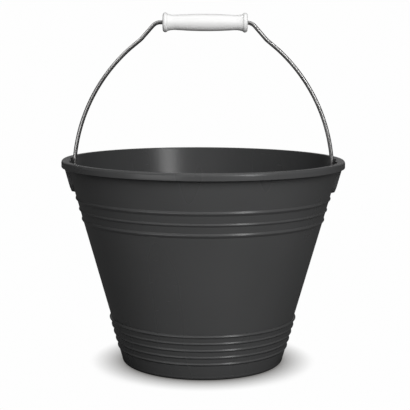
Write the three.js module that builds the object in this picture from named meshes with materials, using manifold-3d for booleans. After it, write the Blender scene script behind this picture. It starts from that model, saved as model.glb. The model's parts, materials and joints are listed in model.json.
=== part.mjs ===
// A ten litre florist bucket: a tapered moulded pail, a bent wire bail and a loose hand grip.
// Millimetres, +Z up. The origin is the centre of the base on the ground, and the bail's two
// pivots lie left and right of the mouth, on one line along X.

import * as THREE from "three";
import { mergeVertices } from "three/addons/utils/BufferGeometryUtils.js";
import Module from "manifold-3d";

const wasm = await Module();
wasm.setup();

// ---------------------------------------------------------------- driving dimensions

const HEIGHT = 232; // ground to rim top
const BASE_RADIUS = 89.8; // the plain wall's outside, carried down to the ground
const DRAFT = THREE.MathUtils.degToRad(15.6); // the wall's lean from vertical
const WALL = 2.2; // wall thickness

const RIM_RADIUS = 159.3; // outside of the turned-over rim
const RIM_DROP = 7.7; // height of the rim's skirt
const RIM_SKIN = 2.2; // thickness of the rim's top and skirt
const RIM_SHOULDER = 2.1; // outer rounding of the rim
const RIM_EDGE = 1.0; // small roundings of the rim

const BASE_FILLET = 5; // outer rounding between wall and ground
const FOOT_INNER = 80; // inside of the foot ring
const FLOOR_UNDER = 3; // underside of the floor above the ground
const FLOOR = 2.5; // floor thickness
const FLOOR_FILLET = 4; // inner rounding between floor and wall

const UPPER_BEADS = [
  { z: 165.3, height: 5, proud: 1.0 },
  { z: 176.8, height: 3.6, proud: 0.8 },
  { z: 189, height: 5, proud: 1.0 },
];

const BAND_TOP = 53.2; // the wall is thicker below this height
const BAND_PROUD = 1.3;
const BAND_STEP = 0.4; // height of the step at the band's top
const LOWER_BEADS = { first: 19.2, pitch: 8.1, count: 5, height: 3.2, proud: 0.95 };

const PIVOT_Z = 222; // height of the bail's pivot line
const BORE_RADIUS = 2.65; // bore in each ear

const PAD_FACE = 148; // flat inner face of each ear, measured from the axis
const NOTCH = { halfWidth: 9, depth: 2.3, bottom: 219 };
const BOSS = { halfWidth: 20, bottom: 195, cornerRadius: 9, proud: 2.75 };
const POCKET = { bottom: 198.5, top: 222.5, end: 6, skin: 1 }; // open on one side of a boss

const WIRE_RADIUS = 2.25;
const GRIP_Z = 384.2; // height of the straight stretch that carries the grip
const SHOULDER_X = 53.4; // corner where the straight stretch turns down
const ELBOW = { x: 69.8, z: 365.6 }; // corner where the wire flattens out again
const SHOULDER_BEND = 12;
const ELBOW_BEND = 22;
const KNEE_BEND = 30;
const ARC_RADIUS = 189; // the long side arcs
const ARC_CENTRE_Z = 213.8;
const ARC_REACH = 146; // greatest distance of an arc from the axis
const KNEE_ANGLE = 48.4; // where an arc starts, in degrees above its centre
const FOOT_BEND = 4; // bend from leg to pivot end
const PIN_END = 153.4; // tip of each pivot end

const GRIP_LENGTH = 94.4;
const GRIP_SHIFT = 1.4; // the loose grip rests a little off centre
const GRIP_BORE = 2.9;
const GRIP_NECK = 7.8; // barrel radius beside the collars
const GRIP_BELLY = 9.5; // barrel radius at mid length
const COLLAR_RADIUS = 10.9;
const COLLAR_WIDTH = 5.8;

// Facets
const ROUND = 48;
const WIRE_SIDES = 14;
const GRIP_SIDES = 32;
const BORE_SIDES = 20;
const FILLET_STEPS = 4;
const EDGE_STEPS = 2;
const BEAD_STEPS = 4;
const SMALL_BEAD_STEPS = 3;
const ARC_STEPS = 12;
const SHOULDER_STEPS = 6;
const ELBOW_STEPS = 3;
const KNEE_STEPS = 2;
const FOOT_STEPS = 5;
const BARREL_STEPS = 4;
const COLLAR_STEPS = 5;

// How far a joining or cutting block reaches past the surface that it meets
const DEEP = 20;
const PAST = 2;

// ---------------------------------------------------------------- shared helpers

const AXIS_X = new THREE.Vector3(1, 0, 0);
const AXIS_Y = new THREE.Vector3(0, 1, 0);
const AXIS_Z = new THREE.Vector3(0, 0, 1);

const point = (r, z) => new THREE.Vector2(r, z);

// Outer radius of the plain wall at a height.
const wallRadius = (z) => BASE_RADIUS + z * Math.tan(DRAFT);

// Points along an arc in a profile, angles in degrees from the outward direction.
function arcPoints(centre, radius, fromDeg, toDeg, count) {
  const points = [];
  for (let i = 0; i <= count; i++) {
    const angle = THREE.MathUtils.degToRad(fromDeg + ((toDeg - fromDeg) * i) / count);
    points.push(point(centre.x + radius * Math.cos(angle), centre.y + radius * Math.sin(angle)));
  }
  return points;
}

function toSolid(geometry) {
  const bare = geometry.clone();
  bare.deleteAttribute("normal");
  bare.deleteAttribute("uv");
  const merged = mergeVertices(bare, 1e-4);
  return new wasm.Manifold(
    new wasm.Mesh({
      numProp: 3,
      vertProperties: new Float32Array(merged.attributes.position.array),
      triVerts: new Uint32Array(merged.index.array),
    }),
  );
}

function toGeometry(solid) {
  const mesh = solid.getMesh();
  const geometry = new THREE.BufferGeometry();
  geometry.setAttribute("position", new THREE.BufferAttribute(mesh.vertProperties, 3));
  geometry.setIndex(new THREE.BufferAttribute(mesh.triVerts, 1));
  geometry.computeVertexNormals();
  return geometry;
}

// A profile of (radius, height) points, turned about Z.
function turned(points, sides) {
  return new THREE.LatheGeometry(points, sides).rotateX(Math.PI / 2);
}

// A shape drawn in (Y, Z) and extruded along X.
function alongX(shape, from, to) {
  const geometry = new THREE.ExtrudeGeometry(shape, {
    depth: to - from,
    bevelEnabled: false,
    curveSegments: 6,
  });
  geometry.applyMatrix4(new THREE.Matrix4().makeBasis(AXIS_Y, AXIS_Z, AXIS_X));
  return toSolid(geometry.translate(from, 0, 0));
}

function box(low, high) {
  const size = new THREE.Vector3().subVectors(high, low);
  const middle = new THREE.Vector3().addVectors(low, high).multiplyScalar(0.5);
  const geometry = new THREE.BoxGeometry(size.x, size.y, size.z);
  return toSolid(geometry.translate(middle.x, middle.y, middle.z));
}

// ---------------------------------------------------------------- bucket

// A half-wave bead standing out of the wall, from its lower edge to its upper edge.
function beadPoints(z, height, proud, base, steps) {
  const points = [];
  for (let i = 0; i <= steps; i++) {
    const share = i / steps;
    const level = z + (share - 0.5) * height;
    points.push(point(wallRadius(level) + base + proud * Math.sin(Math.PI * share), level));
  }
  return points;
}

function footProfile() {
  const wallAtFillet = wallRadius(BASE_FILLET) + BAND_PROUD;
  const centre = point(wallAtFillet - BASE_FILLET, BASE_FILLET);
  return [
    point(0, FLOOR_UNDER),
    point(FOOT_INNER - RIM_EDGE, FLOOR_UNDER),
    point(FOOT_INNER, 0),
    ...arcPoints(centre, BASE_FILLET, -90, 0, FILLET_STEPS),
  ];
}

function wallProfile() {
  const points = [];
  for (let i = 0; i < LOWER_BEADS.count; i++) {
    const z = LOWER_BEADS.first + i * LOWER_BEADS.pitch;
    points.push(...beadPoints(z, LOWER_BEADS.height, LOWER_BEADS.proud, BAND_PROUD, SMALL_BEAD_STEPS));
  }
  points.push(point(wallRadius(BAND_TOP) + BAND_PROUD, BAND_TOP));
  points.push(point(wallRadius(BAND_TOP + BAND_STEP), BAND_TOP + BAND_STEP));
  for (const bead of UPPER_BEADS) {
    points.push(...beadPoints(bead.z, bead.height, bead.proud, 0, BEAD_STEPS));
  }
  return points;
}

// The rim turns outwards and down, so it is hollow underneath.
function rimProfile() {
  const ceiling = HEIGHT - RIM_SKIN;
  const skirtInside = RIM_RADIUS - RIM_SKIN;
  const skirtBottom = HEIGHT - RIM_DROP;
  const innerTop = wallRadius(HEIGHT) - WALL;
  const lowerCorner = point(RIM_RADIUS - RIM_EDGE, skirtBottom + RIM_EDGE);
  const shoulder = point(RIM_RADIUS - RIM_SHOULDER, HEIGHT - RIM_SHOULDER);
  const innerEdge = point(innerTop + RIM_EDGE, HEIGHT - RIM_EDGE);
  return [
    point(wallRadius(ceiling), ceiling),
    point(skirtInside, ceiling),
    point(skirtInside, skirtBottom),
    ...arcPoints(lowerCorner, RIM_EDGE, -90, 0, EDGE_STEPS),
    ...arcPoints(shoulder, RIM_SHOULDER, 0, 90, FILLET_STEPS),
    ...arcPoints(innerEdge, RIM_EDGE, 90, 180, EDGE_STEPS),
  ];
}

function insideProfile() {
  const floorTop = FLOOR_UNDER + FLOOR;
  const wallInside = wallRadius(floorTop + FLOOR_FILLET) - WALL;
  const centre = point(wallInside - FLOOR_FILLET, floorTop + FLOOR_FILLET);
  return [...arcPoints(centre, FLOOR_FILLET, 0, -90, FILLET_STEPS), point(0, floorTop)];
}

// A solid cone at an offset from the wall's outside, as tall as the ears need.
function wallCone(offset) {
  const low = BOSS.bottom - DEEP;
  return toSolid(
    turned(
      [
        point(0, low),
        point(wallRadius(low) + offset, low),
        point(wallRadius(HEIGHT) + offset, HEIGHT),
        point(0, HEIGHT),
      ],
      ROUND,
    ),
  );
}

// A slab between two planes that lean with the wall at the ear, drawn in (X, Z).
function leaningSlab(innerOffset, outerOffset, low, high, fromY, toY) {
  const shape = new THREE.Shape([
    point(wallRadius(low) + innerOffset, low),
    point(wallRadius(low) + outerOffset, low),
    point(wallRadius(high) + outerOffset, high),
    point(wallRadius(high) + innerOffset, high),
  ]);
  const geometry = new THREE.ExtrudeGeometry(shape, { depth: toY - fromY, bevelEnabled: false });
  geometry.rotateX(Math.PI / 2); // the drawing's Y becomes Z, and the depth runs along -Y
  return toSolid(geometry.translate(0, toY, 0));
}

// The flat inner face of an ear, merged into the upper wall.
function earPad() {
  const reach = BOSS.halfWidth * 2;
  const block = box(
    new THREE.Vector3(PAD_FACE, -reach, BOSS.bottom),
    new THREE.Vector3(RIM_RADIUS, reach, HEIGHT),
  );
  return block.intersect(wallCone(-WALL / 2));
}

// The flat-faced boss outside the wall, which runs up into the hollow rim.
function earBoss() {
  const { halfWidth, bottom, cornerRadius, proud } = BOSS;
  const top = HEIGHT - RIM_SKIN / 2;
  const shape = new THREE.Shape();
  shape.moveTo(-halfWidth, top);
  shape.absarc(-halfWidth + cornerRadius, bottom + cornerRadius, cornerRadius, Math.PI, Math.PI * 1.5);
  shape.absarc(halfWidth - cornerRadius, bottom + cornerRadius, cornerRadius, -Math.PI / 2, 0);
  shape.lineTo(halfWidth, top);
  const outline = alongX(shape, PAD_FACE - DEEP, RIM_RADIUS);
  const slab = leaningSlab(-DEEP, proud, bottom - PAST, top, -halfWidth - PAST, halfWidth + PAST);
  return outline.intersect(slab).subtract(wallCone(-WALL / 2));
}

// The bail end's bore, with the notch above it that clears the bend in the wire.
function earCuts() {
  const notch = box(
    new THREE.Vector3(PAD_FACE - DEEP, -NOTCH.halfWidth, NOTCH.bottom),
    new THREE.Vector3(PAD_FACE + NOTCH.depth, NOTCH.halfWidth, HEIGHT + PAST),
  );
  const bore = toSolid(
    new THREE.CylinderGeometry(BORE_RADIUS, BORE_RADIUS, DEEP, BORE_SIDES)
      .rotateZ(Math.PI / 2)
      .translate(PAD_FACE, 0, PIVOT_Z),
  );
  return notch.add(bore);
}

// The pocket that opens in one side of a boss, behind its outer skin.
function bossPocket() {
  const { bottom, top, end, skin } = POCKET;
  const slab = leaningSlab(-WALL, BOSS.proud - skin, bottom, top, end, BOSS.halfWidth + PAST);
  return slab.subtract(wallCone(0));
}

function bucketGeometry() {
  const profile = [...footProfile(), ...wallProfile(), ...rimProfile(), ...insideProfile()];
  let solid = toSolid(turned(profile, ROUND));
  const added = earPad().add(earBoss());
  const removed = earCuts().add(bossPocket());
  for (const turn of [0, 180]) {
    solid = solid.add(added.rotate([0, 0, turn])).subtract(removed.rotate([0, 0, turn]));
  }
  return toGeometry(solid);
}

// ---------------------------------------------------------------- bail

// Stations along a bent wire, with the ring at each one square to the mean of its two sides.
class WirePath extends THREE.Curve {
  constructor(stations) {
    super();
    this.stations = stations;
  }

  at(index) {
    return this.stations[THREE.MathUtils.clamp(index, 0, this.stations.length - 1)];
  }

  getPointAt(share) {
    return this.at(Math.round(share * (this.stations.length - 1))).clone();
  }

  getTangentAt(share) {
    const index = Math.round(share * (this.stations.length - 1));
    const here = this.at(index);
    const before = new THREE.Vector3().subVectors(here, this.at(index - 1)).normalize();
    const after = new THREE.Vector3().subVectors(this.at(index + 1), here).normalize();
    return before.add(after).normalize();
  }
}

// An arc that rounds the corner between two straight stretches.
function bendPoints(before, corner, after, radius, count) {
  const back = before.clone().sub(corner).normalize();
  const ahead = after.clone().sub(corner).normalize();
  const half = Math.acos(THREE.MathUtils.clamp(back.dot(ahead), -1, 1)) / 2;
  const centre = back.clone().add(ahead).normalize();
  centre.multiplyScalar(radius / Math.sin(half)).add(corner);
  const start = back.multiplyScalar(radius / Math.tan(half)).add(corner).sub(centre);
  const end = ahead.multiplyScalar(radius / Math.tan(half)).add(corner).sub(centre);
  const sweep = Math.atan2(start.cross(end), start.dot(end));
  const points = [];
  for (let i = 0; i <= count; i++) {
    points.push(start.clone().rotateAround(point(0, 0), (sweep * i) / count).add(centre));
  }
  return points;
}

// The right half of the bail's centre line in (X, Z), from the grip to the tip.
function bailHalf() {
  const arcCentre = point(ARC_REACH - ARC_RADIUS, ARC_CENTRE_Z);
  const footStart = PIVOT_Z + FOOT_BEND;
  const footAngle = THREE.MathUtils.radToDeg(Math.asin((footStart - ARC_CENTRE_Z) / ARC_RADIUS));
  const [knee, ...side] = arcPoints(arcCentre, ARC_RADIUS, KNEE_ANGLE, footAngle, ARC_STEPS);
  const grip = point(0, GRIP_Z);
  const shoulder = point(SHOULDER_X, GRIP_Z);
  const elbow = point(ELBOW.x, ELBOW.z);
  const leg = side.pop();
  const corner = point(leg.x, PIVOT_Z);
  const tip = point(PIN_END, PIVOT_Z);
  return [
    ...bendPoints(grip, shoulder, elbow, SHOULDER_BEND, SHOULDER_STEPS),
    ...bendPoints(shoulder, elbow, knee, ELBOW_BEND, ELBOW_STEPS),
    ...bendPoints(elbow, knee, side[0], KNEE_BEND, KNEE_STEPS),
    ...side,
    ...bendPoints(leg, corner, tip, FOOT_BEND, FOOT_STEPS),
    tip,
  ];
}

function bailGeometry() {
  const right = bailHalf().map((p) => new THREE.Vector3(p.x, 0, p.y));
  const left = right.map((p) => new THREE.Vector3(-p.x, 0, p.z)).reverse();
  const path = new WirePath([...left, ...right]);
  const section = new THREE.Shape().absarc(0, 0, WIRE_RADIUS, 0, Math.PI * 2);
  return new THREE.ExtrudeGeometry(section, {
    steps: path.stations.length - 1,
    curveSegments: WIRE_SIDES / 2,
    extrudePath: path,
  });
}

// ---------------------------------------------------------------- grip

// Half of the grip's outside, from mid length to the end face.
function gripHalf() {
  const end = GRIP_LENGTH / 2;
  const collarStart = end - COLLAR_WIDTH;
  const points = [];
  for (let i = 0; i <= BARREL_STEPS; i++) {
    const share = i / BARREL_STEPS;
    const radius = GRIP_NECK + (GRIP_BELLY - GRIP_NECK) * Math.cos((Math.PI / 2) * share);
    points.push(point(radius, share * collarStart));
  }
  const round = COLLAR_WIDTH / 2;
  const centre = point(COLLAR_RADIUS - round, end - round);
  points.push(...arcPoints(centre, round, -60, 90, COLLAR_STEPS));
  points.push(point(GRIP_BORE, end));
  return points;
}

function gripGeometry() {
  const half = gripHalf();
  const mirrored = half.slice(1).map((p) => point(p.x, -p.y)).reverse();
  const profile = [...mirrored, ...half, mirrored[0]];
  return new THREE.LatheGeometry(profile, GRIP_SIDES).rotateZ(-Math.PI / 2);
}

// ---------------------------------------------------------------- assembly

function mesh(name, geometry, color, roughness, metalness) {
  const material = new THREE.MeshStandardMaterial({ color, roughness, metalness });
  const made = new THREE.Mesh(geometry, material);
  made.name = name;
  return made;
}

const bucket = new THREE.Group();
bucket.add(mesh("bucket_body", bucketGeometry(), 0x323334, 0.42, 0));

// The bail's group turns about the pivot line, and the grip's turns about the wire.
const bail = new THREE.Group();
bail.position.z = PIVOT_Z;
const wire = mesh("bail_wire", bailGeometry(), 0xb9b9bb, 0.3, 1);
wire.position.z = -PIVOT_Z;
bail.add(wire);

const grip = mesh("hand_grip", gripGeometry(), 0xf2f2f0, 0.3, 0);
grip.position.set(GRIP_SHIFT, 0, GRIP_Z - PIVOT_Z);
bail.add(grip);

const assembly = new THREE.Group();
assembly.add(bucket, bail);

export default assembly;
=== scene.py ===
"""The florist bucket's finished surfaces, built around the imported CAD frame.

A piece is shaped in millimetres and turned into metres when its mesh is made. The bucket stands
on the ground plane with its ears at +X and -X, and the camera looks along +Y.
"""

import json
import math

import bpy
import numpy as np
from mathutils import Matrix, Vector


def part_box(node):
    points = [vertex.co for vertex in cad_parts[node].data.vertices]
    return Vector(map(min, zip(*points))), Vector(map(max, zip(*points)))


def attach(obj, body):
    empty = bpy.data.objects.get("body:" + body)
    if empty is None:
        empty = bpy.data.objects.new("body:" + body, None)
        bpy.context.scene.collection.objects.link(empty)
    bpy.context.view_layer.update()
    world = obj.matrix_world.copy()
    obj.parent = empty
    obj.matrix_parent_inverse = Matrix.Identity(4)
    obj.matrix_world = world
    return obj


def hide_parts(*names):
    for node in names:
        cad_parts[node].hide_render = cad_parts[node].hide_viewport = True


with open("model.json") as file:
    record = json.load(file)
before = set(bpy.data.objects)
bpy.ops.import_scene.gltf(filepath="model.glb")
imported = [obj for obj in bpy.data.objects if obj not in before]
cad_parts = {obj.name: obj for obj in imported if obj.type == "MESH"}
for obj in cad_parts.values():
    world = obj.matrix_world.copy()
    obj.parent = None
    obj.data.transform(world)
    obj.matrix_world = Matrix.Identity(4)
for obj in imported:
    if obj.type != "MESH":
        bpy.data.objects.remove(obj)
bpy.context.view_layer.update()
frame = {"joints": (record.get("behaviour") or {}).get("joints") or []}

# ---------------------------------------------------------------- sizes, in millimetres

MM = 0.001
JOINTS = {joint["name"]: joint for joint in frame["joints"]}
PIVOT_Z = JOINTS["bail_swing"]["pos_m"][2] / MM
GRIP_Z = JOINTS["grip_spin"]["pos_m"][2] / MM

BODY_HIGH = np.array(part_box("bucket_body")[1]) / MM
HEIGHT = BODY_HIGH[2]
RIM_RADIUS = BODY_HIGH[0]
BASE_RADIUS = 89.8
SLOPE = math.tan(math.radians(15.6))
WALL = 2.2

RIM_DROP = 7.7
RIM_SKIN = 2.2
RIM_SHOULDER = 2.1
RIM_SHOULDER_FALL = 3.2
RIM_EDGE = 1.0
RIM_FOOT = 0.4
SKIRT_EDGE = 0.7
CEILING = HEIGHT - RIM_SKIN
SKIRT_INSIDE = RIM_RADIUS - RIM_SKIN

BASE_FILLET = 5.0
FOOT_INNER = 80.0
FLOOR_UNDER = 3.0
FLOOR = 2.5
FLOOR_FILLET = 4.0
GATE_RADIUS = 6.0
GATE_DEPTH = 1.2

UPPER_BEADS = ((165.3, 5.0, 1.3), (176.8, 3.6, 1.1), (189.0, 5.0, 1.3))
LOWER_BEADS = tuple((19.2 + 8.1 * i, 3.4, 1.1) for i in range(5))
BEAD_CREST = 0.05
BEAD_ROUND = 1.25
BAND_TOP = 53.2
BAND_STEP = 0.4
BAND_PROUD = 1.3

PAD_FACE = 148.0
PAD_BLEND = 1.2
NOTCH_HALF = 9.0
NOTCH_DEPTH = 2.3
NOTCH_BOTTOM = 219.0
BOSS_HALF = 20.0
BOSS_BOTTOM = 195.0
BOSS_CORNER = 9.0
BOSS_PROUD = 2.75
BOSS_GAP = 0.2
EAR_EDGE = 0.8
BORE_RADIUS = 2.65
BORE_CHAMFER = 0.4
BORE_SIDES = 48
BORE_START = PAD_FACE - 4
BORE_END = RIM_RADIUS - 3
POCKET_LOW = 198.5
POCKET_TOP = 222.5
POCKET_END = 6.0
POCKET_SKIN = 1.0
POCKET_GAP = 0.05

BAIL_HIGH = np.array(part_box("bail_wire")[1]) / MM
PIN_END = BAIL_HIGH[0]
WIRE_RADIUS = 2.25
SHOULDER_X = 53.4
ELBOW = (69.8, 365.6)
SHOULDER_BEND = 12.0
ELBOW_BEND = 22.0
KNEE_BEND = 30.0
ARC_RADIUS = 189.0
ARC_CENTRE = (-43.0, 213.8)
KNEE_ANGLE = 48.4
FOOT_BEND = 4.0
WIRE_CHAMFER = 0.45
WIRE_SIDES = 28

GRIP_LOW, GRIP_HIGH = (np.array(corner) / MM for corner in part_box("hand_grip"))
COLLAR_RADIUS = (GRIP_HIGH[2] - GRIP_LOW[2]) / 2
COLLAR_WIDTH = 5.8
GRIP_NECK = 7.8
GRIP_BELLY = 9.5
GRIP_FLARE = 1.6
FLARE_LENGTH = 9.0
GRIP_BORE = 2.9
GRIP_MOUTH = 4.2
GRIP_END_FLAT = 6.0
GRIP_SIDES = 96

FLOOR_REACH = 9000.0
FLOOR_DROP = 0.02

# ---------------------------------------------------------------- studio: metres, degrees, lens in mm

LIGHT_DISTANCE = 1.6
LIGHT_HEIGHT = 0.18
CAMERA_PLACE = (0.0022, -1.2822, 0.3527)
CAMERA_DIP = 7.70
CAMERA_ROLL = 0.26
CAMERA_LENS = 99.95

# ---------------------------------------------------------------- shared helpers


def smooth(value):
    """A smooth step from 0 to 1 as value goes from 0 to 1."""
    value = np.clip(value, 0, 1)
    return value * value * (3 - 2 * value)


def smooth_least(a, b, width):
    """The lesser of a and b, with a rounded change-over."""
    near = np.maximum(width - np.abs(a - b), 0) / width
    return np.minimum(a, b) - near * near * width / 4


def arc(centre, radius, start, end, steps):
    """Points of an arc in a profile, angles in degrees from the first axis."""
    angles = np.radians(np.linspace(start, end, steps + 1))
    ring = np.stack([np.cos(angles), np.sin(angles)], 1)
    return np.array(centre) + radius * ring


def stations(*zones):
    """Values through (start, end, step) zones, each evenly spaced, with no value twice."""
    values = []
    for start, end, step in zones:
        count = max(1, round(abs(end - start) / step))
        values.extend(np.linspace(start, end, count, endpoint=False))
    return np.array(values + [zones[-1][1]])


def make_piece(name, points, faces, material):
    """A mesh object from points in millimetres."""
    mesh = bpy.data.meshes.new(name)
    mesh.from_pydata((np.asarray(points) * MM).tolist(), [], faces)
    mesh.validate()
    mesh.materials.append(material)
    mesh.shade_smooth()
    piece = bpy.data.objects.new(name, mesh)
    bpy.context.scene.collection.objects.link(piece)
    return piece


def grid_faces(rows, columns, wrap_rows=False):
    """Quads of a grid of points stored row by row, where each row closes on itself."""
    faces = []
    for i in range(rows if wrap_rows else rows - 1):
        for j in range(columns):
            below, above = i * columns, (i + 1) % rows * columns
            right = (j + 1) % columns
            faces.append((below + j, below + right, above + right, above + j))
    return faces


def tube_faces(rings, sides):
    """The wall of a tube made of rings of points, with a flat face over each end."""
    faces = grid_faces(rings, sides)
    faces.append(tuple(reversed(range(sides))))
    faces.append(tuple(range((rings - 1) * sides, rings * sides)))
    return faces


def full_turn(count):
    """Evenly spaced angles once round, in radians."""
    return np.linspace(0, 2 * math.pi, count, endpoint=False)


# ---------------------------------------------------------------- bucket


def wall_radius(z):
    return BASE_RADIUS + z * SLOPE


def bead_share(across):
    """A bead's section: 1 at its crest, close to its middle, and 0 at its edges (-1 and 1)."""
    across = np.clip(across, -1, 1)
    flank = np.where(across > BEAD_CREST, 1 - BEAD_CREST, 1 + BEAD_CREST)
    return 1 - np.abs((across - BEAD_CREST) / flank) ** BEAD_ROUND


def outer_radius(z):
    """The wall's outside with its band and beads."""
    radius = wall_radius(z) + BAND_PROUD * (1 - smooth((z - BAND_TOP) / BAND_STEP))
    for centre, height, proud in UPPER_BEADS + LOWER_BEADS:
        radius = radius + proud * bead_share(2 * (z - centre) / height)
    return radius


def boss_share(y, z):
    """1 on an ear's outer boss, 0 off it, with a short drafted side between."""
    side = np.abs(y) - (BOSS_HALF - BOSS_CORNER)
    under = BOSS_BOTTOM + BOSS_CORNER - z
    outside = np.hypot(np.maximum(side, 0), np.maximum(under, 0))
    distance = outside + np.minimum(np.maximum(side, under), 0) - BOSS_CORNER
    return smooth(-distance / EAR_EDGE)


def notch_share(y, z):
    """1 in the notch above a pivot, 0 outside it."""
    across = smooth((NOTCH_HALF - np.abs(y)) / EAR_EDGE + 0.5)
    return across * smooth((z - NOTCH_BOTTOM) / EAR_EDGE + 0.5)


def outer_at_ear(radius, z, ear_angle):
    """The outside of the wall, pushed out to the flat face of the boss."""
    face = (wall_radius(z) + BOSS_PROUD) / np.cos(ear_angle)
    y = radius * np.sin(ear_angle)
    pushed = radius + (face - radius) * boss_share(y, z) * (face > radius)
    return np.minimum(pushed, np.maximum(radius, SKIRT_INSIDE - BOSS_GAP))


def inner_at_ear(radius, z, ear_angle):
    """The inside of the wall, filled out to the flat pad and cut back by the notch."""
    pad = smooth_least(radius, PAD_FACE / np.cos(ear_angle), PAD_BLEND)
    notch = np.maximum((PAD_FACE + NOTCH_DEPTH) / np.cos(ear_angle), pad)
    y = pad * np.sin(ear_angle)
    return pad + (notch - pad) * notch_share(y, z)


def column_angles():
    """Angles round the bucket: even ones, and a closer set across each ear."""
    fine = stations(
        (0, 8, 0.5), (8, 10, 0.16), (10, 18.5, 0.8), (18.5, 20.7, 0.14), (20.7, 41, 1.4)
    )
    ear = np.arcsin(fine / PAD_FACE)
    ear = np.concatenate([-ear[:0:-1], ear])
    plain = np.linspace(ear[-1], math.pi - ear[-1], 72)[1:-1]
    return np.concatenate([ear, plain, ear + math.pi, plain + math.pi])


def bucket_profile():
    """Half sections of the bucket: out from the axis under the floor, up, and back down inside.

    Each is (points, kind), and the kind says how an ear changes those points.
    """
    foot_centre = (wall_radius(BASE_FILLET) + BAND_PROUD - BASE_FILLET, BASE_FILLET)
    under = [
        (GATE_RADIUS - 2.0, FLOOR_UNDER - GATE_DEPTH),
        (GATE_RADIUS - 0.8, FLOOR_UNDER - 0.75 * GATE_DEPTH),
        (GATE_RADIUS, FLOOR_UNDER),
        (30.0, FLOOR_UNDER),
        (55.0, FLOOR_UNDER),
        (FOOT_INNER - 1.6, FLOOR_UNDER),
        (FOOT_INNER - 0.9, FLOOR_UNDER - 0.4),
        (FOOT_INNER - 0.2, 0.5),
        (FOOT_INNER + 0.3, 0.0),
    ]
    levels = stations(
        (BASE_FILLET + 0.5, 17, 2),
        (17, BAND_TOP, 0.25),
        (BAND_TOP, BAND_TOP + BAND_STEP, 0.1),
        (BAND_TOP + BAND_STEP, 162, 3.5),
        (162, 192, 0.25),
        (192, 206, 0.4),
        (206, CEILING, 1.2),
    )
    outer = np.stack([outer_radius(levels), levels], 1)
    bottom = HEIGHT - RIM_DROP
    shoulder = np.array([RIM_SHOULDER, RIM_SHOULDER_FALL])
    skirt = [(SKIRT_INSIDE, z) for z in (CEILING, CEILING - 1.5, bottom + 1.5)]
    rim = np.concatenate(
        [
            arc((SKIRT_INSIDE + SKIRT_EDGE, bottom + SKIRT_EDGE), SKIRT_EDGE, 180, 270, 5),
            arc((RIM_RADIUS - RIM_FOOT, bottom + RIM_FOOT), RIM_FOOT, -90, 0, 5),
            [(RIM_RADIUS, bottom + 2)],
            arc((0, 0), 1, 0, 90, 16) * shoulder + (RIM_RADIUS, HEIGHT) - shoulder,
        ]
    )
    inner_top = wall_radius(HEIGHT - RIM_EDGE) - WALL
    top = [(share, HEIGHT) for share in (0.8, 0.6, 0.4, 0.2)]
    edge = arc((inner_top + RIM_EDGE, HEIGHT - RIM_EDGE), RIM_EDGE, 90, 180, 8)
    heights = stations(
        (HEIGHT - RIM_EDGE - 0.4, 216, 0.5), (216, 205, 1.5), (205, FLOOR_UNDER + FLOOR + 6, 5)
    )
    inner = np.stack([wall_radius(heights) - WALL, heights], 1)
    floor_top = FLOOR_UNDER + FLOOR
    corner = (wall_radius(floor_top + FLOOR_FILLET) - WALL - FLOOR_FILLET, floor_top + FLOOR_FILLET)
    floor = np.concatenate(
        [arc(corner, FLOOR_FILLET, 0, -90, 8), [(r, floor_top) for r in (70.0, 50.0, 30.0, 12.0)]]
    )
    return [
        (np.array(under), "plain"),
        (arc(foot_centre, BASE_FILLET, -90, 0, 10), "plain"),
        (outer, "outer"),
        (np.array(skirt), "plain"),
        (rim, "plain"),
        (np.array(top), "top"),
        (edge, "inner"),
        (inner, "inner"),
        (floor, "plain"),
    ]


def bucket_rows(angles):
    """Rows of (radius, height) round the bucket, one radius for each angle."""
    ear_angle = (angles + math.pi / 2) % math.pi - math.pi / 2
    inner_top = wall_radius(HEIGHT - RIM_EDGE) - WALL
    lip = inner_at_ear(inner_top, HEIGHT, ear_angle) + RIM_EDGE
    crest = RIM_RADIUS - RIM_SHOULDER
    rows = []
    for points, kind in bucket_profile():
        for radius, z in points:
            if kind == "outer":
                radii = outer_at_ear(radius, z, ear_angle)
            elif kind == "inner":
                wall = min(wall_radius(z) - WALL, inner_top)
                radii = inner_at_ear(wall, z, ear_angle) + radius - wall
            elif kind == "top":
                radii = lip + (crest - lip) * radius
            else:
                radii = np.full_like(angles, radius)
            rows.append((radii, z))
    return rows


def bucket_shell(material):
    """The whole moulding as one closed grid, with a fan at the centre of the floor's two sides."""
    angles = column_angles()
    rows = bucket_rows(angles)
    rings = [
        np.stack([radii * np.cos(angles), radii * np.sin(angles), np.full_like(angles, z)], 1)
        for radii, z in rows
    ]
    columns = len(angles)
    points = np.concatenate(rings + [[(0, 0, rows[0][1]), (0, 0, rows[-1][1])]])
    faces = grid_faces(len(rows), columns)
    under, floor = len(points) - 2, len(points) - 1
    last = (len(rows) - 1) * columns
    for j in range(columns):
        right = (j + 1) % columns
        faces.append((under, right, j))
        faces.append((floor, last + j, last + right))
    return make_piece("bucket_shell", points, faces, material)


def bore_cutter(side):
    """A turned cutter for one pivot bore, with a chamfer at its inner mouth."""
    mouth = PAD_FACE + NOTCH_DEPTH
    outline = [
        (BORE_START, BORE_RADIUS + BORE_CHAMFER),
        (mouth, BORE_RADIUS + BORE_CHAMFER),
        (mouth + BORE_CHAMFER, BORE_RADIUS),
        (BORE_END, BORE_RADIUS),
    ]
    points = []
    for x, radius in outline:
        for turn in full_turn(BORE_SIDES):
            y = radius * math.cos(turn) * side
            points.append((x * side, y, PIVOT_Z + radius * math.sin(turn)))
    return points, tube_faces(len(outline), BORE_SIDES)


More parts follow.
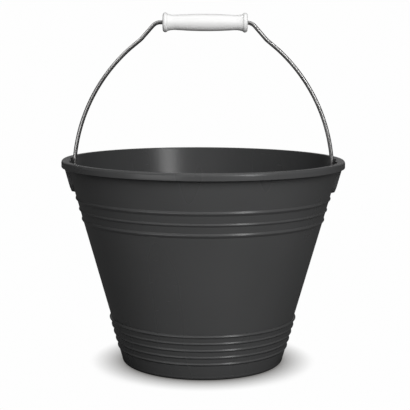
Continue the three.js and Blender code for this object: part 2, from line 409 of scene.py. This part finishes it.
def pocket_cutter(side):
    """A leaning block that opens one side of a boss: between the wall and the boss's outer skin."""
    levels = stations((POCKET_LOW, POCKET_TOP, 1.5))
    depths = stations((POCKET_END, BOSS_HALF + 2, 1.0))
    points = []
    for z in levels:
        inner = wall_radius(z) + POCKET_GAP
        outer = wall_radius(z) + BOSS_PROUD - POCKET_SKIN
        ring = [(math.sqrt(inner**2 - y**2), y) for y in depths]
        ring += [(outer, y) for y in reversed(depths)]
        points += [(x * side, y * side, z) for x, y in ring]
    return points, tube_faces(len(levels), 2 * len(depths))


def cut(piece, cutters, material):
    """Subtracts each cutter from the piece and keeps the result as its mesh."""
    for number, (points, faces) in enumerate(cutters):
        cutter = make_piece(f"cutter_{number}", points, faces, material)
        modifier = piece.modifiers.new("cut", "BOOLEAN")
        modifier.operation = "DIFFERENCE"
        modifier.solver = "EXACT"
        modifier.object = cutter
        bpy.context.view_layer.update()
        graph = bpy.context.evaluated_depsgraph_get()
        piece.data = bpy.data.meshes.new_from_object(piece.evaluated_get(graph))
        piece.modifiers.clear()
        bpy.data.objects.remove(cutter)
    piece.data.shade_smooth()
    piece.data.set_sharp_from_angle(angle=math.radians(40))


def make_bucket():
    material = bucket_plastic()
    bucket = bucket_shell(material)
    cutters = [make(side) for side in (1, -1) for make in (bore_cutter, pocket_cutter)]
    cut(bucket, cutters, material)
    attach(bucket, "bucket")
    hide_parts("bucket_body")


# ---------------------------------------------------------------- bail


def bend(before, corner, after, radius, steps):
    """The arc that rounds the corner between two straight stretches."""
    before, corner, after = (np.array(p, float) for p in (before, corner, after))
    back = (before - corner) / np.linalg.norm(before - corner)
    ahead = (after - corner) / np.linalg.norm(after - corner)
    half = math.acos(np.clip(back @ ahead, -1, 1)) / 2
    middle = (back + ahead) / np.linalg.norm(back + ahead)
    centre = corner + middle * radius / math.sin(half)
    start = corner + back * radius / math.tan(half) - centre
    end = corner + ahead * radius / math.tan(half) - centre
    first = math.degrees(math.atan2(start[1], start[0]))
    sweep = math.degrees(math.atan2(start[0] * end[1] - start[1] * end[0], start @ end))
    return arc(centre, radius, first, first + sweep, steps)


def bail_half():
    """The right half of the wire's centre line in (X, Z), from the grip's middle to the tip."""
    foot_start = PIVOT_Z + FOOT_BEND
    foot_angle = math.degrees(math.asin((foot_start - ARC_CENTRE[1]) / ARC_RADIUS))
    side = arc(ARC_CENTRE, ARC_RADIUS, KNEE_ANGLE, foot_angle, 60)
    knee, leg = side[0], side[-1]
    grip = (0, GRIP_Z)
    shoulder = (SHOULDER_X, GRIP_Z)
    tip = (PIN_END, PIVOT_Z)
    straight = np.array([(x, GRIP_Z) for x in (0, 12, 24, 36)], float)
    knee_bend = bend(ELBOW, knee, side[1], KNEE_BEND, 4)
    side = side[side[:, 0] > knee_bend[-1, 0] + 1]
    return np.concatenate(
        [
            straight,
            bend(grip, shoulder, ELBOW, SHOULDER_BEND, 14),
            bend(shoulder, ELBOW, knee, ELBOW_BEND, 8),
            knee_bend,
            side[:-1],
            bend(leg, (leg[0], PIVOT_Z), tip, FOOT_BEND, 12),
            [tip],
        ]
    )


def make_bail():
    """The bent wire as one swept tube with a small chamfer at each cut end."""
    right = bail_half()
    left = right[:0:-1] * (-1, 1)
    line = np.concatenate([left, right])
    steps = np.diff(line, axis=0)
    steps /= np.linalg.norm(steps, axis=1)[:, None]
    tangents = np.concatenate([steps[:1], steps[:-1] + steps[1:], steps[-1:]])
    tangents /= np.linalg.norm(tangents, axis=1)[:, None]
    radii = np.full(len(line) + 2, WIRE_RADIUS)
    radii[[0, -1]] -= WIRE_CHAMFER
    inset = np.array([(WIRE_CHAMFER, 0)])
    first, last = line[:1], line[-1:]
    line = np.concatenate([first, first + inset, line[1:-1], last - inset, last])
    tangents = np.concatenate([tangents[:1], tangents, tangents[-1:]])
    points = []
    for (x, z), (along_x, along_z), radius in zip(line, tangents, radii):
        for turn in full_turn(WIRE_SIDES):
            across = radius * math.cos(turn)
            points.append((x - along_z * across, radius * math.sin(turn), z + along_x * across))
    faces = [tuple(reversed(face)) for face in tube_faces(len(line), WIRE_SIDES)]
    bail = make_piece("bail_rod", points, faces, bail_steel())
    lengths = np.concatenate([[0], np.cumsum(np.linalg.norm(np.diff(line, axis=0), axis=1))])
    along = bail.data.attributes.new("along", "FLOAT", "POINT")
    along.data.foreach_set("value", np.repeat(lengths * MM, WIRE_SIDES).astype(np.float32))
    bail.data.set_sharp_from_angle(angle=math.radians(35))
    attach(bail, "bail")
    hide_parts("bail_wire")


# ---------------------------------------------------------------- grip


def grip_half():
    """The grip's outside as (distance from mid length, radius), from its belly to its bore."""
    end = (GRIP_HIGH[0] - GRIP_LOW[0]) / 2
    collar = end - COLLAR_WIDTH
    along = stations((0, collar - FLARE_LENGTH, 2), (collar - FLARE_LENGTH, collar, 0.5))
    belly = (GRIP_BELLY - GRIP_NECK) * np.cos(along / collar * math.pi / 2)
    flare = GRIP_FLARE * np.clip(1 - (collar - along) / FLARE_LENGTH, 0, 1) ** 2
    barrel = np.stack([along, GRIP_NECK + belly + flare], 1)
    round_radius = COLLAR_WIDTH / 2
    ring = arc((end - round_radius, COLLAR_RADIUS - round_radius), round_radius, 150, 0, 18)
    mouth = [
        (end, GRIP_END_FLAT),
        (end, GRIP_MOUTH),
        (end - 0.15, GRIP_BORE + 0.5),
        (end - 0.7, GRIP_BORE),
    ]
    bore = [(end * share, GRIP_BORE) for share in (0.8, 0.5, 0.2)]
    return np.concatenate([barrel, ring, mouth, bore])


def make_grip():
    """The moulded grip, turned about the wire, with a bore right through."""
    half = grip_half()
    outline = np.concatenate([half, half[:0:-1] * (-1, 1)])
    middle = (GRIP_HIGH[0] + GRIP_LOW[0]) / 2
    points = []
    for x, radius in outline:
        for turn in full_turn(GRIP_SIDES):
            points.append((middle + x, radius * math.cos(turn), GRIP_Z + radius * math.sin(turn)))
    faces = grid_faces(len(outline), GRIP_SIDES, wrap_rows=True)
    faces = [tuple(reversed(face)) for face in faces]
    grip = make_piece("grip_barrel", points, faces, grip_plastic())
    grip.data.set_sharp_from_angle(angle=math.radians(50))
    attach(grip, "grip")
    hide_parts("hand_grip")


# ---------------------------------------------------------------- materials


def add(tree, kind, inputs=None, **settings):
    """A shader node with its settings, and its inputs set to values or linked to sockets."""
    node = tree.nodes.new("ShaderNode" + kind)
    for name, value in settings.items():
        setattr(node, name, value)
    for name, value in (inputs or {}).items():
        if isinstance(value, bpy.types.NodeSocket):
            tree.links.new(value, node.inputs[name])
        else:
            node.inputs[name].default_value = value
    return node


def noise(tree, vector, scale, detail=3.0, roughness=0.5):
    inputs = {"Vector": vector, "Scale": scale, "Detail": detail, "Roughness": roughness}
    return add(tree, "TexNoise", inputs).outputs["Fac"]


def remap(tree, value, low, high, to_low=0.0, to_high=1.0):
    inputs = {
        "Value": value,
        "From Min": low,
        "From Max": high,
        "To Min": to_low,
        "To Max": to_high,
    }
    return add(tree, "MapRange", inputs).outputs["Result"]


def combine(tree, operation, first, second):
    return add(tree, "Math", {0: first, 1: second}, operation=operation).outputs[0]


def mix_colour(tree, share, first, second):
    inputs = {0: share, 6: first, 7: second}
    return add(tree, "Mix", inputs, data_type="RGBA").outputs[2]


def bumped(tree, height, strength, distance, over=None):
    """The normal of a bump, laid over an earlier bump's normal where one is given."""
    inputs = {"Height": height, "Strength": strength, "Distance": distance}
    if over is not None:
        inputs["Normal"] = over
    return add(tree, "Bump", inputs).outputs[0]


def stretched(tree, scale):
    """Object coordinates, stretched for a streaked pattern."""
    place = add(tree, "TexCoord").outputs["Object"]
    return add(tree, "Mapping", {"Vector": place, "Scale": scale}).outputs["Vector"]


def new_material(name):
    material = bpy.data.materials.new(name)
    material.use_nodes = True
    material.node_tree.nodes.clear()
    return material


def finish_material(tree, inputs):
    shader = add(tree, "BsdfPrincipled", inputs)
    output = add(tree, "OutputMaterial")
    tree.links.new(shader.outputs[0], output.inputs["Surface"])


def bucket_plastic():
    """Charcoal polypropylene: a fine moulded grain, faint flow tone, light scuffs, and edges painted
    lighter, partly as wear and partly as a painted highlight.

    The inside is painted a shade darker than the outside: painted shade.
    """
    material = new_material("bucket_plastic")
    tree = material.node_tree
    place = add(tree, "TexCoord").outputs["Object"]
    level = stretched(tree, (1, 1, 0))
    tone = noise(tree, place, 14, 3)
    flow = noise(tree, stretched(tree, (18, 18, 5)), 1, 1)
    grain = noise(tree, place, 1500, 2, 0.6)
    scuff = remap(tree, noise(tree, stretched(tree, (45, 45, 260)), 1, 6, 0.7), 0.64, 0.74)
    surface = add(tree, "NewGeometry").outputs
    # Edges lighter by pointiness: partly wear, and partly a painted highlight on the rim's lips.
    edge = remap(tree, surface["Pointiness"], 0.53, 0.60)
    outwards = add(tree, "VectorMath", {0: surface["Normal"], 1: level}, operation="DOT_PRODUCT")
    # Painted shade: surfaces facing the axis, the inside, are coloured darker than the outside.
    inside = remap(tree, outwards.outputs["Value"], 0.02, -0.02)
    colour = mix_colour(tree, tone, (0.050, 0.0505, 0.051, 1), (0.060, 0.0605, 0.061, 1))
    colour = mix_colour(tree, inside, colour, (0.037, 0.0375, 0.038, 1))
    scuffed = combine(tree, "MULTIPLY", scuff, 0.05)
    edge_wear_and_highlight = combine(tree, "MULTIPLY", edge, 0.40)
    wear_and_highlight = combine(tree, "ADD", scuffed, edge_wear_and_highlight)
    # Lighter colour for scuffs and edges; on the edges it is partly a painted highlight.
    colour = mix_colour(tree, wear_and_highlight, colour, (0.12, 0.12, 0.12, 1))
    roughness = combine(tree, "ADD", remap(tree, flow, 0, 1, 0.25, 0.31), scuffed)
    normal = bumped(tree, grain, 0.05, 0.00008)
    inputs = {
        "Base Color": colour,
        "Roughness": roughness,
        "Normal": bumped(tree, tone, 0.05, 0.001, normal),
        "IOR": 1.49,
        "Specular IOR Level": 0.4,
    }
    finish_material(tree, inputs)
    return material


def bail_steel():
    """Bright drawn wire, with fine die lines along it and dull patches."""
    material = new_material("bail_steel")
    tree = material.node_tree
    place = add(tree, "TexCoord").outputs["Object"]
    along = add(tree, "Attribute", attribute_name="along").outputs["Fac"]
    across = add(tree, "SeparateXYZ", {"Vector": place}).outputs["Y"]
    streaks = {
        "X": combine(tree, "MULTIPLY", along, 30),
        "Y": combine(tree, "MULTIPLY", across, 2600),
    }
    lines = noise(tree, add(tree, "CombineXYZ", streaks).outputs[0], 1, 2, 0.5)
    patches = noise(tree, place, 55, 4)
    colour = mix_colour(tree, patches, (0.47, 0.465, 0.46, 1), (0.57, 0.565, 0.56, 1))
    roughness = remap(tree, patches, 0.3, 0.7, 0.31, 0.37)
    inputs = {
        "Base Color": colour,
        "Metallic": 1.0,
        "Roughness": combine(tree, "ADD", roughness, combine(tree, "MULTIPLY", lines, 0.06)),
        "Normal": bumped(tree, lines, 0.05, 0.00003),
    }
    finish_material(tree, inputs)
    return material


def grip_plastic():
    """Glossy white moulded plastic: slight sink marks, and a faintly warmer tone where it is held."""
    material = new_material("grip_plastic")
    tree = material.node_tree
    place = add(tree, "TexCoord").outputs["Object"]
    tone = noise(tree, place, 40, 3)
    handled = noise(tree, stretched(tree, (25, 90, 90)), 1, 5, 0.65)
    grain = noise(tree, place, 900, 2)
    colour = mix_colour(tree, tone, (0.70, 0.70, 0.70, 1), (0.72, 0.72, 0.715, 1))
    colour = mix_colour(tree, remap(tree, handled, 0.5, 0.9, 0, 0.2), colour, (0.70, 0.69, 0.67, 1))
    normal = bumped(tree, tone, 0.02, 0.0003)
    inputs = {
        "Base Color": colour,
        "Roughness": remap(tree, handled, 0, 1, 0.28, 0.36),
        "Normal": bumped(tree, grain, 0.01, 0.00005, normal),
    }
    finish_material(tree, inputs)
    return material


# ---------------------------------------------------------------- stage


def floor_material():
    """A pale floor. The camera sees it white with a painted soft contact shadow, or through it from
    below.
    """
    material = new_material("floor_white")
    # So wide a sheet, sampled as a lamp, would speckle small pieces such as the grip.
    material.cycles.emission_sampling = "NONE"
    tree = material.node_tree
    path = add(tree, "LightPath")
    # Painted shadow: ambient occlusion darkens the floor's emitted white near the bucket into a soft
    # contact shadow.
    near = add(tree, "AmbientOcclusion", {"Distance": 0.042}, samples=16).outputs["AO"]
    shade = remap(tree, near, 0.34, 0.92)
    colour = mix_colour(tree, shade, (0.22, 0.215, 0.21, 1), (0.99, 0.99, 0.99, 1))
    white = add(tree, "Emission", {"Color": colour}).outputs[0]
    # Painted light: for other surfaces the floor glows faintly as a lit floor would, darkened near
    # the bucket by the same painted shade.
    bounce = remap(tree, path.outputs["Is Glossy Ray"], 0, 1, 0.19, 0.06)
    pale = add(tree, "Emission", {"Color": combine(tree, "MULTIPLY", bounce, shade)}).outputs[0]
    seen = add(tree, "MixShader", {0: path.outputs["Is Camera Ray"], 1: pale, 2: white}).outputs[0]
    clear = add(tree, "BsdfTransparent").outputs[0]
    under = add(tree, "NewGeometry").outputs["Backfacing"]
    shader = add(tree, "MixShader", {0: under, 1: seen, 2: clear})
    output = add(tree, "OutputMaterial")
    tree.links.new(shader.outputs[0], output.inputs["Surface"])
    return material


def make_floor():
    reach, level = FLOOR_REACH, -FLOOR_DROP
    corners = [
        (-reach, -reach, level),
        (reach, -reach, level),
        (reach, reach, level),
        (-reach, reach, level),
    ]
    floor = make_piece("floor", corners, [(0, 1, 2, 3)], floor_material())


def make_world():
    """White behind the object for the camera, and nearly dark for everything else."""
    world = bpy.data.worlds.new("studio")
    world.use_nodes = True
    tree = world.node_tree
    tree.nodes.clear()
    seen = add(tree, "LightPath").outputs["Is Camera Ray"]
    colour = mix_colour(tree, seen, (0.01, 0.01, 0.01, 1), (0.99, 0.99, 0.99, 1))
    background = add(tree, "Background", {"Color": colour})
    output = add(tree, "OutputWorld")
    tree.links.new(background.outputs[0], output.inputs["Surface"])
    bpy.context.scene.world = world


def softbox(rig, name, azimuth, elevation, size, power, diffuse=True, gloss=True, only=None):
    """A rectangular light that faces the bucket. Azimuth is in degrees to the camera's right.

    With a collection given as only, it lights that collection's objects and nothing else.
    """
    light = bpy.data.lights.new(name, "AREA")
    light.shape = "RECTANGLE"
    light.size, light.size_y = size
    light.energy = power
    lamp = bpy.data.objects.new(name, light)
    bpy.context.scene.collection.objects.link(lamp)
    lamp.visible_camera = False
    lamp.visible_diffuse = diffuse
    lamp.visible_glossy = gloss
    lamp.light_linking.receiver_collection = only
    aim = Matrix.Rotation(math.radians(azimuth), 4, "Z")
    tilt = Matrix.Rotation(math.radians(90 - elevation), 4, "X")
    lamp.parent = rig
    lamp.matrix_local = aim @ tilt @ Matrix.Translation((0, 0, LIGHT_DISTANCE))


def make_lights():
    """Softboxes that turn with the camera, as when an object stands on a turntable.

    The last one is for the wire's upper left side. Lighting the bucket too, it would glow inside.
    """
    rig = bpy.data.objects.new("light_rig", None)
    bpy.context.scene.collection.objects.link(rig)
    rig.location = (0, 0, LIGHT_HEIGHT)
    follow = rig.constraints.new("COPY_ROTATION")
    follow.target = bpy.context.scene.camera
    follow.use_x = follow.use_y = False
    softbox(rig, "key", 36, 22, (0.26, 0.95), 7.8)
    softbox(rig, "soft", 6, 28, (1.5, 1.0), 25.5, gloss=False)
    softbox(rig, "low_left", -35, 4, (1.0, 0.45), 3.6, diffuse=False)
    softbox(rig, "top", 0, 82, (2.6, 0.9), 10.0)
    softbox(rig, "back", 180, 14, (2.0, 0.5), 0.9, diffuse=False)
    wire = bpy.data.collections.new("wire_only")
    wire.objects.link(bpy.data.objects["bail_rod"])
    softbox(rig, "wire_left", -62, 42, (0.5, 0.5), 3.4, diffuse=False, only=wire)


def make_camera():
    """The photograph's viewing angle: nearly level, just right of the axis, with a slight roll."""
    camera = bpy.data.cameras.new("camera")
    camera.lens = CAMERA_LENS
    camera.sensor_width = 36
    camera.clip_start, camera.clip_end = 0.1, 50
    viewer = bpy.data.objects.new("camera", camera)
    bpy.context.scene.collection.objects.link(viewer)
    place = Matrix.Translation(CAMERA_PLACE)
    pitch = Matrix.Rotation(math.radians(90 - CAMERA_DIP), 4, "X")
    roll = Matrix.Rotation(math.radians(CAMERA_ROLL), 4, "Z")
    viewer.matrix_world = place @ pitch @ roll
    bpy.context.scene.camera = viewer


make_bucket()
make_bail()
make_grip()
make_floor()
make_world()
make_camera()
make_lights()
bpy.context.scene.view_settings.view_transform = "Standard"
